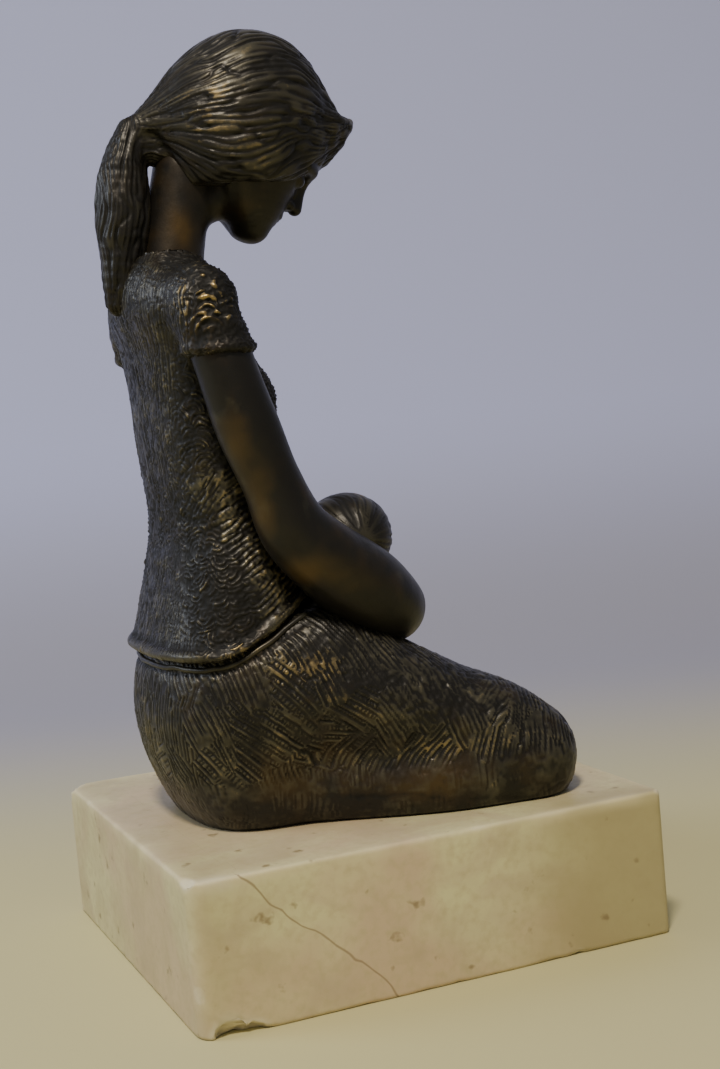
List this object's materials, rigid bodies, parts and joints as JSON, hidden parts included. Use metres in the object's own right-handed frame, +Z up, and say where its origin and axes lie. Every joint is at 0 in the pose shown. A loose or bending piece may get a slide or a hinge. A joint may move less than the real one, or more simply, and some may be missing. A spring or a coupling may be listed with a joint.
{
  "type": "mother and child sculpture",
  "caption": "Small bronze sculpture of a kneeling young mother, head bowed and hair in a ponytail, cradling a baby in her arms, on a squared marble plinth.",
  "frame": {"origin": "centre of the plinth's underside", "axes": "+X the way the mother faces, +Y her left, +Z up"},
  "size_m": [0.14, 0.1344, 0.2676],
  "materials": {
    "bronze": "dark brown patina, worn to gold on the raised parts",
    "marble": "honed cream marble, worn edges"
  },
  "bodies": {
    "root": {"mother_and_child_bronze": "bronze", "marble_plinth": "marble"}
  },
  "joints": []
}
